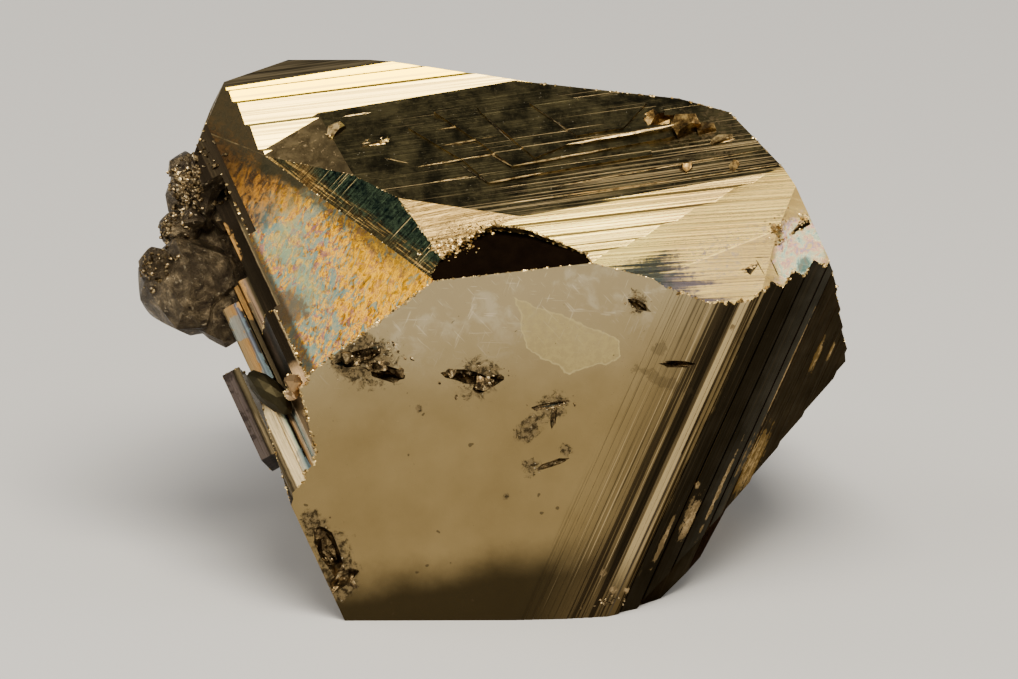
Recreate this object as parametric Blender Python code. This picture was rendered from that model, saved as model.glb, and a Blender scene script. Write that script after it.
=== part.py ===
"""Pyrite crystal with striated faces, a stepped left flank, side crystals and pits.

The crystal is built in its own axes, in millimetres, with the big front face square to Z,
and is then turned so that it rests on its flat broken base.
"""
import math
import random

import bmesh
import bpy
from mathutils import Matrix, Vector

# Driving dimensions. Distances are in millimetres, angles in degrees.
MILLIMETRE = 0.001
ROUGH_BLOCK = 90.0

# Each crystal face: azimuth, tilt away from the front direction, distance from the centre.
FRONT = (0.0, 0.0, 15.00)
LEFT = (120.0, 43.0, 18.88)
LEFT_UPPER = (107.0, 46.6, 18.47)
TOP = (90.0, 58.0, 17.60)
TOP_LEFT = (97.1, 56.8, 18.49)
SHOULDER = (95.0, 48.8, 17.91)
UPPER = (88.4, 38.0, 17.80)
UPPER_RIGHT = (67.0, 20.0, 17.78)
UPPER_RIGHT_LOW = (46.2, 13.9, 17.43)
UPPER_CORNER = (-4.8, 36.8, 20.95)
RIGHT_SOFT = (-30.0, 4.0, 15.32)
RIGHT_STEEP = (-30.0, 42.0, 18.39)
RIGHT_OUTER = (-30.0, 56.0, 19.07)
SIDE_HIGH = (8.9, 99.2, 22.34)
SIDE_MIDDLE = (-53.3, 84.8, 17.74)
SPUR_TOP = (19.4, 77.2, 10.56)
SPUR_SIDE = (-35.8, 87.2, 17.97)
SPUR_FOOT = (-57.3, 84.5, 19.07)
BACK_TOP = (65.2, 128.8, 13.87)
BACK_TOP_RIGHT = (52.4, 125.9, 14.88)
RIM_HIGH = (24.2, 104.1, 19.63)
RIM_MIDDLE = (22.6, 103.8, 19.62)
FLANK = (-162.3, 103.5, 14.25)
FLANK_HIGH = (159.6, 112.4, 22.60)
BACK_LEFT = (150.0, 100.0, 26.00)
BACK = (0.0, 180.0, 17.00)
BACK_RIGHT = (-20.0, 140.0, 21.50)
BASE_DISTANCE = 14.45

RIDGE_FRONT = (89.2, 45.0, 15.17)
RIDGE_CREST = (90.1, 66.0, 19.72)
RIDGE_BACK = (66.1, 129.0, 13.46)
RIDGE_BACK_LEFT = (111.4, 133.2, 19.56)
RIDGE_TOP = (78.9, 117.9, 17.84)
RIDGE_INSET = 0.30
RIDGE_STANDS = 0.06
LEFT_SEAM = 0.04

NOTCH_FLOOR = (88.4, 48.0, 17.25)

# Growth lines on the faces.
UPPER_LINE_STEP = (0.35, 0.95)
RIGHT_LINE_STEP = (0.22, 0.62)
STEEP_LINE_STEP = (0.70, 1.60)
RIDGE_LINE_STEP = (0.60, 1.50)
TERRACE_HEIGHT = 0.16

# The stepped left flank: its corner point, its run direction and its outline across the run.
FLANK_CORNER = (-16.73, 10.26, 9.73)
FLANK_RUN = (0.2251, -0.7040, 0.6735)

# The attitude the crystal rests in.
PITCH = 17.0
YAW = 6.0
ROLL = 11.06
LEAN_BACK = 70.0

COLOUR = (0.44, 0.34, 0.18, 1.0)
METALLIC = 0.9
ROUGHNESS = 0.3

for old in list(bpy.data.objects):
    bpy.data.objects.remove(old)

rng = random.Random(37)

piece_collection = bpy.data.collections.new("pyrite_crystal")
bpy.context.scene.collection.children.link(piece_collection)
cutter_collection = bpy.data.collections.new("cutters")
bpy.context.scene.collection.children.link(cutter_collection)

ATTITUDE = (
    Matrix.Rotation(math.radians(LEAN_BACK), 4, "X")
    @ Matrix.Rotation(math.radians(ROLL), 4, "Z")
    @ Matrix.Rotation(math.radians(YAW), 4, "Y")
    @ Matrix.Rotation(math.radians(PITCH), 4, "X")
    @ Matrix.Scale(MILLIMETRE, 4)
)


def outward(azimuth, tilt):
    """Unit direction a face looks in."""
    a = math.radians(azimuth)
    t = math.radians(tilt)
    return Vector((math.sin(t) * math.cos(a), math.sin(t) * math.sin(a), math.cos(t)))


def face_looking(direction, distance):
    """Azimuth, tilt and distance of the face that looks in a direction."""
    x, y, z = direction.normalized()
    return math.degrees(math.atan2(y, x)), math.degrees(math.acos(z)), distance


def add_object(name, bm, collection):
    """Store a finished shape as an object, with its faces pointing out."""
    bmesh.ops.recalc_face_normals(bm, faces=bm.faces)
    if bm.calc_volume(signed=True) < 0.0:
        bmesh.ops.reverse_faces(bm, faces=bm.faces)
    mesh = bpy.data.meshes.new(name)
    bm.to_mesh(mesh)
    bm.free()
    piece = bpy.data.objects.new(name, mesh)
    collection.objects.link(piece)
    if collection is cutter_collection:
        piece.hide_render = True
        piece.display_type = "WIRE"
    return piece


def trim(bm, normal, distance):
    """Cut a shape along one plane and close it again."""
    parts = list(bm.verts) + list(bm.edges) + list(bm.faces)
    cut = bmesh.ops.bisect_plane(
        bm, geom=parts, plane_co=normal * distance, plane_no=normal, clear_outer=True
    )
    rim = [part for part in cut["geom_cut"] if isinstance(part, bmesh.types.BMEdge)]
    bmesh.ops.contextual_create(bm, geom=rim)


def faceted_block(name, faces, collection=cutter_collection):
    """Solid bounded by a list of crystal faces."""
    bm = bmesh.new()
    bmesh.ops.create_cube(bm, size=ROUGH_BLOCK)
    for azimuth, tilt, distance in faces:
        trim(bm, outward(azimuth, tilt), distance)
    bmesh.ops.remove_doubles(bm, verts=bm.verts, dist=0.0001)
    return add_object(name, bm, collection)


def prism(name, outline, origin, directions, near, far):
    """Solid with one flat outline, drawn along two directions and pushed along the third."""
    across, up, along = [Vector(direction).normalized() for direction in directions]
    curve = bpy.data.curves.new(name, "CURVE")
    curve.dimensions = "2D"
    curve.fill_mode = "BOTH"
    curve.extrude = (far - near) / 2
    line = curve.splines.new("POLY")
    line.points.add(len(outline) - 1)
    for point, (a, b) in zip(line.points, outline):
        point.co = (a, b, 0.0, 1.0)
    line.use_cyclic_u = True
    holder = bpy.data.objects.new(name, curve)
    cutter_collection.objects.link(holder)
    depsgraph = bpy.context.evaluated_depsgraph_get()
    mesh = bpy.data.meshes.new_from_object(holder.evaluated_get(depsgraph))
    bpy.data.objects.remove(holder)
    bpy.data.curves.remove(curve)
    bm = bmesh.new()
    bm.from_mesh(mesh)
    bpy.data.meshes.remove(mesh)
    bmesh.ops.remove_doubles(bm, verts=bm.verts, dist=0.0001)
    placing = Matrix((across, up, along)).transposed().to_4x4()
    placing.translation = Vector(origin) + along * (near + far) / 2
    bm.transform(placing)
    return add_object(name, bm, cutter_collection)


def steps(start, end, lengths, tread_less, riser_more):
    """Outline of small growth steps that follow a slope from one point to another."""
    run = end[0] - start[0]
    slope = math.degrees(math.atan2(start[1] - end[1], run))
    tread = math.tan(math.radians(slope - tread_less))
    riser = math.tan(math.radians(slope + riser_more))
    mean = math.tan(math.radians(slope))
    points = []
    at = 0.0
    while at < run - 0.02:
        length = min(rng.uniform(lengths[0], lengths[1]), run - at)
        if run - at - length < 0.3 * lengths[0]:
            length = run - at
        flat = length * (riser - mean) / (riser - tread)
        edge = at + flat
        points.append((start[0] + edge, start[1] - mean * at - tread * flat))
        at += length
        points.append((start[0] + at, start[1] - mean * at))
    return points


def lump(name, centre, radii, axis, seed, bumpiness=0.16, detail=2):
    """Rounded knob with an uneven skin; its third radius lies along the axis given."""
    own = random.Random(seed)
    bm = bmesh.new()
    bmesh.ops.create_icosphere(bm, subdivisions=detail, radius=1.0)
    for vert in bm.verts:
        vert.co *= 1.0 + own.uniform(-bumpiness, bumpiness)
        vert.co = Vector((vert.co.x * radii[0], vert.co.y * radii[1], vert.co.z * radii[2]))
    bm.transform(Vector(axis).to_track_quat("Z", "Y").to_matrix().to_4x4())
    bm.transform(Matrix.Translation(Vector(centre)))
    return add_object(name, bm, cutter_collection)


def turning(angles):
    """Rotation by three angles in degrees about X, then Y, then Z."""
    return (
        Matrix.Rotation(math.radians(angles[2]), 4, "Z")
        @ Matrix.Rotation(math.radians(angles[1]), 4, "Y")
        @ Matrix.Rotation(math.radians(angles[0]), 4, "X")
    )


def small_crystal(name, centre, sizes, turn, corner=0.30):
    """Little block with its corners and some edges cut away by crystal faces."""
    bm = bmesh.new()
    bmesh.ops.create_cube(bm, size=1.0)
    for x in (-1, 1):
        for y in (-1, 1):
            for z in (-1, 1):
                diagonal = Vector((x, y, z)).normalized()
                trim(bm, diagonal, 0.866 - corner * (0.8 + 0.15 * (x + 2 * y)))
    bmesh.ops.scale(bm, vec=Vector(sizes), verts=bm.verts)
    bm.transform(turning(turn))
    bm.transform(Matrix.Translation(Vector(centre)))
    return add_object(name, bm, cutter_collection)


def slope_axes(face):
    """Level direction a face falls away in, the front direction, and the line square to both."""
    across = outward(face[0], 90.0)
    front = Vector((0.0, 0.0, 1.0))
    return across, front, across.cross(front)


def face_axes(face):
    """Direction along a face, the direction up its slope, and the way it looks."""
    up = outward(face[0], face[1] + 90.0)
    normal = outward(face[0], face[1])
    return up.cross(normal), up, normal


def flank_bar(name, across, run, height):
    """Box aligned with the left flank, given by its limits in three directions."""
    outline = [
        (across[0], height[0]),
        (across[1], height[0]),
        (across[1], height[1]),
        (across[0], height[1]),
    ]
    return prism(name, outline, FLANK_CORNER, FLANK_AXES, run[0], run[1])


def join(target, other, operation):
    """Fuse one shape with another, cut it away, or keep what both share."""
    step = target.modifiers.new(other.name, "BOOLEAN")
    step.operation = operation
    step.solver = "EXACT"
    step.object = other


# The base is level once the crystal stands in its resting attitude.
down = ATTITUDE.to_3x3().inverted() @ Vector((0.0, 0.0, -1.0))
BASE = face_looking(down, BASE_DISTANCE)

flank_up = outward(LEFT[0], LEFT[1])
flank_run = Vector(FLANK_RUN).normalized()
flank_across = flank_run.cross(flank_up).normalized()
FLANK_AXES = (flank_across, flank_up, flank_run)

# The main block and the parallel ridge grown behind its top edge.
crystal = faceted_block(
    "crystal",
    [
        FRONT,
        LEFT,
        LEFT_UPPER,
        TOP,
        TOP_LEFT,
        SHOULDER,
        UPPER_RIGHT,
        UPPER_RIGHT_LOW,
        UPPER_CORNER,
        SIDE_HIGH,
        SIDE_MIDDLE,
        BACK_TOP,
        BACK_TOP_RIGHT,
        RIDGE_BACK,
        RIDGE_BACK_LEFT,
        RIDGE_TOP,
        FLANK_HIGH,
        RIM_HIGH,
        RIM_MIDDLE,
        FLANK,
        BACK_LEFT,
        BACK,
        BACK_RIGHT,
        BASE,
    ],
    piece_collection,
)


def inset(face, depth=RIDGE_INSET):
    """The same face, a little nearer to the centre."""
    return face[0], face[1], face[2] - depth


def outset(face, height=RIDGE_STANDS):
    """The same face, a little further from the centre."""
    return face[0], face[1], face[2] + height


ridge = faceted_block(
    "ridge",
    [
        inset(LEFT, LEFT_SEAM),
        inset(FRONT, 1.0),
        inset(RIGHT_STEEP, 1.0),
        inset(RIGHT_OUTER, 1.0),
        RIDGE_CREST,
        outset(RIDGE_BACK),
        outset(RIDGE_BACK_LEFT),
        outset(RIDGE_TOP),
        outset(FLANK_HIGH),
        inset(RIM_HIGH),
        inset(SIDE_HIGH),
        inset(SIDE_MIDDLE),
        inset(FLANK),
        inset(BACK_LEFT),
        inset(BACK),
        inset(BASE),
    ],
)

# Growth lines along the upper face and the ridge.
upper_line = [(-60.0, 18.0), (7.45, 18.0), (9.714, 15.0)]
upper_line += steps((9.714, 15.0), (17.5, 8.92), UPPER_LINE_STEP, 7.0, 26.0)
upper_line += [(60.0, -24.3), (60.0, -60.0), (-60.0, -60.0)]
upper_steps = prism("upper_steps", upper_line, (0, 0, 0), slope_axes(UPPER), -60.0, 60.0)
join(crystal, upper_steps, "INTERSECT")

ridge_line = [(-60.0, 81.45)]
ridge_line += steps((12.0, 9.45), (23.0, -1.55), RIDGE_LINE_STEP, 3.0, 22.0)
ridge_line += [(60.0, -38.55), (60.0, -60.0), (-60.0, -60.0)]
ridge_steps = prism("ridge_steps", ridge_line, (0, 0, 0), slope_axes(RIDGE_FRONT), -60.0, 60.0)
join(ridge, ridge_steps, "INTERSECT")

# Growth lines that break the front face into the dark right side.
right_line = [(-60.0, 18.0), (4.9, 18.0), (5.16, 14.96)]
right_line += steps((5.16, 14.96), (8.20, 14.78), RIGHT_LINE_STEP, 4.0, 50.0)
right_line += steps((8.20, 14.78), (11.21, 14.31), RIGHT_LINE_STEP, 9.0, 50.0)
right_line += steps((11.21, 14.31), (17.0, 9.10), STEEP_LINE_STEP, 11.0, 24.0)
right_line += steps((17.0, 9.10), (26.0, -4.24), STEEP_LINE_STEP, 10.0, 20.0)
right_line += [(60.0, -54.6), (60.0, -60.0), (-60.0, -60.0)]
right_steps = prism("right_steps", right_line, (0, 0, 0), slope_axes(RIGHT_SOFT), -60.0, 60.0)
join(crystal, right_steps, "INTERSECT")

join(crystal, ridge, "UNION")

# A spur that bulges out of the lower right side, below a small notch.
spur = faceted_block(
    "spur",
    [
        inset(FRONT, 0.6),
        inset(RIGHT_STEEP, 0.25),
        inset(RIGHT_OUTER, 0.15),
        SPUR_TOP,
        SPUR_SIDE,
        SPUR_FOOT,
        inset(LEFT, 3.0),
        inset(UPPER, 3.0),
        inset(TOP, 3.0),
        inset(BACK_TOP, 3.0),
        inset(FLANK, 6.0),
        inset(BACK, 4.0),
        inset(BASE, 0.04),
    ],
)
join(crystal, spur, "UNION")

# The left flank falls away in ledges that all run the same way.
flank_outline = [
    (-1.1, 6.0),
    (1.45, 0.0),
    (2.35, -2.1),
    (2.90, -3.40),
    (3.22, -3.45),
    (3.32, -3.72),
    (4.30, -3.80),
    (4.42, -4.10),
    (5.70, -4.25),
    (5.82, -4.50),
    (6.45, -4.85),
    (20.0, -5.6),
    (20.0, 6.0),
]
flank_ledges = prism("flank_ledges", flank_outline, FLANK_CORNER, FLANK_AXES, -60.0, 60.0)
join(crystal, flank_ledges, "DIFFERENCE")

upper_ledge = flank_bar("upper_ledge", (0.25, 4.0), (-9.0, 2.2), (-2.9, 6.0))
join(crystal, upper_ledge, "DIFFERENCE")
rim_ledge = flank_bar("rim_ledge", (-0.38, 3.0), (-30.0, -3.6), (-0.55, 6.0))
join(crystal, rim_ledge, "DIFFERENCE")
low_rim = flank_bar("low_rim", (0.75, 1.9), (1.0, 30.0), (-0.30, 6.0))
join(crystal, low_rim, "DIFFERENCE")
hollow = flank_bar("hollow", (1.9, 3.9), (-9.5, -2.2), (-8.5, 3.0))
join(crystal, hollow, "DIFFERENCE")
under_strip = flank_bar("under_strip", (1.4, 4.4), (-10.0, 0.5), (-7.6, -4.4))
join(crystal, under_strip, "UNION")
left_slab = flank_bar("left_slab", (5.4, 6.7), (2.9, 10.0), (-6.8, -4.3))
join(crystal, left_slab, "UNION")
wedge_slab = flank_bar("wedge_slab", (3.3, 4.6), (-1.0, 5.4), (-4.6, -3.25))
join(crystal, wedge_slab, "UNION")

# The arched hollow in the upper face, with a floor that meets the front face.
notch_axes = face_axes(NOTCH_FLOOR)
notch_origin = notch_axes[2] * NOTCH_FLOOR[2]
notch_corners = [
    (-6.9, 9.6, 15.3),
    (5.3, 9.3, 15.3),
    (4.56, 10.13, 14.40),
    (3.08, 10.75, 13.76),
    (1.02, 11.60, 12.87),
    (-1.33, 12.16, 12.33),
    (-3.00, 11.79, 12.79),
    (-4.74, 11.16, 13.54),
    (-5.37, 10.90, 13.85),
]
notch_outline = []
for corner in notch_corners:
    offset = Vector(corner) - notch_origin
    notch_outline.append((offset.dot(notch_axes[0]), offset.dot(notch_axes[1])))
notch = prism("notch", notch_outline, notch_origin, notch_axes, 0.0, 3.0)
join(crystal, notch, "DIFFERENCE")

# Nested arrow-shaped growth terraces on the top face.
top_axes = face_axes(TOP)
top_origin = top_axes[2] * TOP[2]
terraces = [
    [(-0.99, -0.49), (2.8, -0.26), (10.6, 0.0), (10.6, 1.0), (-0.2, 6.6), (-5.6, 5.6), (-2.3, 1.8)],
    [(0.84, 0.59), (8.2, 1.0), (12.4, 1.24), (12.2, 2.2), (0.6, 7.2), (-3.6, 6.6), (-0.9, 3.1)],
    [(2.5, 0.95), (5.0, 1.74), (12.6, 1.9), (12.0, 4.0), (3.4, 6.2), (-0.6, 6.4), (-0.4, 5.7)],
    [(5.7, 2.3), (9.0, 2.4), (11.0, 4.4), (5.0, 6.1), (3.0, 5.9)],
]
for number, outline in enumerate(terraces):
    top = TERRACE_HEIGHT * (number + 1)
    terrace = prism(f"terrace_{number}", outline, top_origin, top_axes, -0.6, top)
    join(crystal, terrace, "UNION")

# Side crystals and knobs on the upper part of the left flank.
side_growth = [
    lump("big_knob", (-21.8, 8.2, 2.4), (3.4, 3.1, 3.7), (0.6, -0.4, 0.7), 5, 0.09),
    lump("low_knob", (-19.8, 6.3, 4.0), (2.2, 1.9, 2.2), (0.3, -0.7, 0.6), 8, 0.10),
    lump("red_knob", (-21.9, 11.7, 0.6), (1.4, 1.3, 1.6), (0.5, 0.4, 0.8), 12, 0.12),
    small_crystal("side_crystal_1", (-19.9, 14.2, -0.2), (3.6, 4.6, 3.8), (25, 35, 20)),
    small_crystal("side_crystal_2", (-20.9, 15.9, -0.4), (2.0, 1.7, 1.9), (40, 10, 50)),
    small_crystal("side_crystal_3", (-20.9, 12.9, 1.2), (1.9, 1.3, 1.6), (15, 50, 70)),
    small_crystal("side_crystal_4", (-18.6, 12.6, 1.7), (1.8, 1.2, 1.5), (50, 20, 30)),
    small_crystal("side_crystal_5", (-24.2, 10.5, 3.4), (2.0, 1.6, 1.6), (20, 30, 60)),
    lump("oval_knob", (-17.9, 2.5, 11.6), (0.9, 1.1, 2.2), (0.55, -0.60, 0.58), 3, 0.04),
]
for growth in side_growth:
    join(crystal, growth, "UNION")

# Pits in the front face and the little crystals that sit in them.
pits = [
    ((-11.9, 5.2, 15.1), (0.60, 0.9, 1.9), (1.0, 0.15, 0.0), 21),
    ((-10.1, 3.8, 15.1), (0.50, 1.2, 1.5), (1.0, -0.5, 0.0), 22),
    ((-4.5, 2.7, 15.1), (0.50, 1.0, 1.8), (1.0, -0.3, 0.0), 23),
    ((-3.1, 2.0, 15.1), (0.45, 0.8, 1.1), (1.0, 0.3, 0.0), 24),
    ((1.1, -0.2, 15.05), (0.25, 0.3, 1.5), (1.0, 0.05, 0.0), 25),
    ((1.2, -1.1, 15.05), (0.22, 0.3, 0.8), (0.3, 1.0, 0.0), 26),
    ((0.7, -4.4, 15.05), (0.22, 0.3, 1.2), (1.0, 0.2, 0.0), 30),
    ((-15.3, -8.6, 15.0), (0.70, 1.3, 2.2), (-0.3, 1.0, 0.0), 27),
    ((-14.6, -10.6, 15.1), (0.55, 1.1, 1.3), (0.8, 0.5, 0.0), 28),
    ((18.6, 9.3, 13.25), (0.45, 0.5, 0.9), (0.8, -0.6, -0.1), 29),
    ((7.9, 6.1, 15.0), (0.30, 0.5, 0.9), (0.8, -0.6, 0.0), 33),
    ((10.2, 1.4, 14.8), (0.25, 0.5, 1.4), (1.0, -0.2, 0.0), 34),
]
for number, (centre, radii, axis, seed) in enumerate(pits):
    pit = lump(f"pit_{number}", centre, radii, axis, seed, 0.20)
    join(crystal, pit, "DIFFERENCE")

grains = [
    ((-12.6, 5.4, 14.75), (0.9, 0.8, 0.9), (30, 20, 10)),
    ((-11.4, 4.5, 14.65), (0.8, 0.7, 0.8), (10, 40, 50)),
    ((-10.4, 4.4, 14.70), (0.9, 0.7, 0.9), (35, 15, 75)),
    ((-9.0, 3.7, 14.75), (0.7, 0.7, 0.6), (20, 30, 25)),
    ((-5.7, 3.2, 14.65), (0.8, 0.6, 0.9), (15, 25, 35)),
    ((-3.35, 2.0, 14.62), (1.4, 0.9, 0.9), (5, 10, -25)),
    ((-16.5, 4.0, 14.60), (1.0, 0.9, 1.0), (30, 10, 20)),
    ((-16.7, 3.1, 14.45), (0.7, 0.7, 0.8), (10, 35, 45)),
    ((-13.9, -10.9, 14.7), (0.9, 0.7, 0.6), (15, 20, 60)),
    ((-15.9, -7.0, 14.5), (0.9, 0.8, 0.7), (25, 10, 15)),
]
for number, (centre, sizes, turn) in enumerate(grains):
    grain = small_crystal(f"grain_{number}", centre, sizes, turn)
    join(crystal, grain, "UNION")

# A pocket of small crystals at the right end of the top face.
pocket = lump("pocket", (11.6, 16.6, 6.9), (0.6, 0.8, 1.5), (1.0, 0.05, -0.05), 31, 0.2)
join(crystal, pocket, "DIFFERENCE")
top_growth = [
    small_crystal("top_crystal_1", (13.3, 16.1, 7.4), (1.9, 1.5, 1.9), (-58, 12, 20)),
    small_crystal("top_crystal_2", (11.0, 16.7, 6.4), (1.3, 1.0, 1.1), (-40, 25, 50)),
    small_crystal("top_crystal_3", (14.7, 15.8, 7.7), (1.3, 0.9, 0.9), (-70, 5, 10)),
    small_crystal("top_crystal_4", (15.6, 15.2, 8.7), (1.6, 0.6, 0.7), (-58, 8, 8)),
    small_crystal("top_crystal_5", (12.7, 14.1, 10.5), (0.8, 0.7, 0.7), (-30, 30, 30)),
    small_crystal("top_crystal_6", (16.0, 13.9, 11.0), (0.8, 0.5, 0.6), (-50, 20, 70)),
    small_crystal("top_crystal_7", (-10.6, 18.3, 3.8), (1.3, 0.9, 0.9), (-50, 15, 40)),
    small_crystal("top_crystal_8", (-8.1, 17.4, 5.1), (1.9, 0.6, 0.6), (-58, 5, 5)),
]
for growth in top_growth:
    join(crystal, growth, "UNION")

# The back is coarser: stepped growth, a few hollows and two side crystals.
BACK_AXES = ((-1, 0, 0), (0, 1, 0), (0, 0, -1))
back_bars = [
    ("back_step_1", [(-30.0, -30.0), (-9.0, -30.0), (-4.0, 30.0), (-30.0, 30.0)], 1.1),
    ("back_step_2", [(7.0, -30.0), (30.0, -30.0), (30.0, 30.0), (11.0, 30.0)], 0.8),
    ("back_step_3", [(-30.0, -30.0), (30.0, -30.0), (30.0, -9.5), (-30.0, -7.5)], 0.6),
]
for name, outline, depth in back_bars:
    bar = prism(name, outline, (0, 0, -BACK[2] + depth), BACK_AXES, 0.0, 9.0)
    join(crystal, bar, "DIFFERENCE")

# One common skin, standing over the centre of its flat base.
material = bpy.data.materials.new("pyrite")
material.use_nodes = True
shader = material.node_tree.nodes["Principled BSDF"]
shader.inputs["Base Color"].default_value = COLOUR
shader.inputs["Metallic"].default_value = METALLIC
shader.inputs["Roughness"].default_value = ROUGHNESS
material.diffuse_color = COLOUR
crystal.data.materials.append(material)

bpy.context.view_layer.update()
depsgraph = bpy.context.evaluated_depsgraph_get()
grown = bpy.data.meshes.new_from_object(crystal.evaluated_get(depsgraph))
crystal.modifiers.clear()
crystal.data = grown
for cutter in list(cutter_collection.objects):
    bpy.data.objects.remove(cutter)
grown.transform(ATTITUDE)
low = Vector([min(vert.co[axis] for vert in grown.vertices) for axis in range(3)])
high = Vector([max(vert.co[axis] for vert in grown.vertices) for axis in range(3)])
grown.transform(Matrix.Translation((-(low.x + high.x) / 2, -(low.y + high.y) / 2, -low.z)))
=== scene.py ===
import math
import random

import bpy
from mathutils import Matrix, Vector
from mathutils.bvhtree import BVHTree


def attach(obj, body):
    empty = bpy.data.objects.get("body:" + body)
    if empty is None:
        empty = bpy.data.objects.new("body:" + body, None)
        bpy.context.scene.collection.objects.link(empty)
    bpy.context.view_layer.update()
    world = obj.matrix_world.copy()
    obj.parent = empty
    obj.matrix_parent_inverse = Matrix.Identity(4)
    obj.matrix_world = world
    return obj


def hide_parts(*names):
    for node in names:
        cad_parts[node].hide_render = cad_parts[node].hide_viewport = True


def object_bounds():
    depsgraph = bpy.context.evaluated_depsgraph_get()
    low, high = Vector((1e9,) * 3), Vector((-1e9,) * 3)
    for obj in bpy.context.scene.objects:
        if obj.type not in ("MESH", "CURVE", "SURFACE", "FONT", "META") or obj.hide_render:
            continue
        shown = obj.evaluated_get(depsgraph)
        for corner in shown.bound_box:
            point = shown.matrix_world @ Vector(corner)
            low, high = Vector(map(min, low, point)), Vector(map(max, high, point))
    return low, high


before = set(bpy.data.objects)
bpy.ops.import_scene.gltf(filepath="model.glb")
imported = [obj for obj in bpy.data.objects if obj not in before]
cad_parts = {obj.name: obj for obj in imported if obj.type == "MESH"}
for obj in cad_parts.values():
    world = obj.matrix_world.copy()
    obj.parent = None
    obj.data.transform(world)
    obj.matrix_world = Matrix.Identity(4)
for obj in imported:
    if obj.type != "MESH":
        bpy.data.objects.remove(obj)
solid_box = [list(corner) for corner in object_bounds()]
bpy.ops.object.select_all(action="DESELECT")

# The table and the studio.
# A plain pale floor, a strong soft box above, weak ones around the crystal, and a long lens
# that looks down at twenty degrees.
TILT_DOWN = 70.0
HEAD_ROLL = 3.06
LENS = 600.0
SENSOR_WIDTH = 36.0
VIEW_WIDTH = 0.0713
AIM = Vector((0.00092, -0.00041, 0.01445))
AIM_RIGHT = 0.00028
AIM_UP = 0.00038
FLOOR_HALF = 3.0

bpy.ops.mesh.primitive_plane_add(size=2 * FLOOR_HALF, location=(0, 0, 0))
floor = bpy.context.object
floor.name = "table_top"
floor_paint = bpy.data.materials.new("table_paint")
floor_paint.use_nodes = True
floor_shader = floor_paint.node_tree.nodes["Principled BSDF"]
floor_shader.inputs["Base Color"].default_value = (0.62, 0.61, 0.59, 1.0)
floor_shader.inputs["Roughness"].default_value = 0.9
floor.data.materials.append(floor_paint)

turn = Matrix.Rotation(math.radians(TILT_DOWN), 4, "X")
turn = turn @ Matrix.Rotation(math.radians(HEAD_ROLL), 4, "Z")
lens_data = bpy.data.cameras.new("studio_camera")
lens_data.lens = LENS
lens_data.sensor_width = SENSOR_WIDTH
lens_data.clip_end = 20.0
camera = bpy.data.objects.new("studio_camera", lens_data)
bpy.context.scene.collection.objects.link(camera)
distance = VIEW_WIDTH * LENS / SENSOR_WIDTH
aim = AIM + turn.col[0].xyz * AIM_RIGHT + turn.col[1].xyz * AIM_UP
camera.matrix_world = Matrix.Translation(aim + turn.col[2].xyz * distance) @ turn
bpy.context.scene.camera = camera


def soft_box(name, azimuth, elevation, away, width, height, power, colour=(1.0, 1.0, 1.0)):
    """Square lamp that looks at the crystal from a direction around it."""
    lamp = bpy.data.lights.new(name, "AREA")
    lamp.shape = "RECTANGLE"
    lamp.size = width
    lamp.size_y = height
    lamp.energy = power
    lamp.color = colour
    holder = bpy.data.objects.new(name, lamp)
    bpy.context.scene.collection.objects.link(holder)
    a = math.radians(azimuth)
    e = math.radians(elevation)
    side = Vector((math.cos(e) * math.sin(a), -math.cos(e) * math.cos(a), math.sin(e)))
    holder.location = AIM + side * away
    holder.rotation_euler = side.to_track_quat("Z", "Y").to_euler()
    holder.visible_camera = False
    return holder


soft_box("top_box", 8.0, 67.0, 0.50, 0.34, 0.24, 3.9, (1.0, 0.93, 0.80))
soft_box("left_box", -52.0, 44.0, 0.50, 0.24, 0.20, 0.45, (1.0, 0.97, 0.92))
soft_box("front_box", 34.0, 16.0, 0.60, 0.34, 0.16, 0.68, (1.0, 0.95, 0.86))
soft_box("right_box", 88.0, 8.0, 0.50, 0.30, 0.14, 1.1, (1.0, 0.95, 0.86))
soft_box("side_box", -100.0, 10.0, 0.50, 0.20, 0.14, 0.7)

world = bpy.data.worlds.new("studio_walls")
world.use_nodes = True
world.node_tree.nodes["Background"].inputs["Color"].default_value = (0.80, 0.80, 0.82, 1.0)
world.node_tree.nodes["Background"].inputs["Strength"].default_value = 0.42
bpy.context.scene.world = world

# The crystal's skin.
# Pyrite, an iron sulphide with a brassy lustre, grown in one piece. It repeats the solid's
# faces; every face has its own growth lines, tarnish and pits, and every edge is crumbly.
MILLIMETRE = 0.001
ATTITUDE = (
    Matrix.Rotation(math.radians(70.0), 3, "X")
    @ Matrix.Rotation(math.radians(11.06), 3, "Z")
    @ Matrix.Rotation(math.radians(6.0), 3, "Y")
    @ Matrix.Rotation(math.radians(17.0), 3, "X")
)
TO_CRYSTAL = ATTITUDE.transposed()
CENTRE = Vector((0.9186, -0.4052, 14.45))


def in_crystal(point):
    """A point of the model, in millimetres along the crystal's own axes."""
    return TO_CRYSTAL @ (point / MILLIMETRE - CENTRE)


def in_model(point):
    """A point given in millimetres along the crystal's own axes, in the model."""
    return (ATTITUDE @ Vector(point) + CENTRE) * MILLIMETRE


def outward(azimuth, tilt):
    """Unit direction a crystal face looks in, along the crystal's own axes."""
    a = math.radians(azimuth)
    t = math.radians(tilt)
    return Vector((math.sin(t) * math.cos(a), math.sin(t) * math.sin(a), math.cos(t)))


bpy.ops.mesh.primitive_cube_add(size=0.001)
crystal = bpy.context.object
crystal.name = "pyrite_crystal"
crystal.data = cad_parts["crystal"].data.copy()
crystal.data.name = "pyrite_crystal"
crystal.data.materials.clear()
bpy.ops.object.mode_set(mode="EDIT")
bpy.ops.mesh.select_all(action="SELECT")
bpy.ops.mesh.remove_doubles(threshold=0.000001)
bpy.ops.mesh.dissolve_limited(angle_limit=math.radians(0.6))
bpy.ops.object.mode_set(mode="OBJECT")


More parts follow.
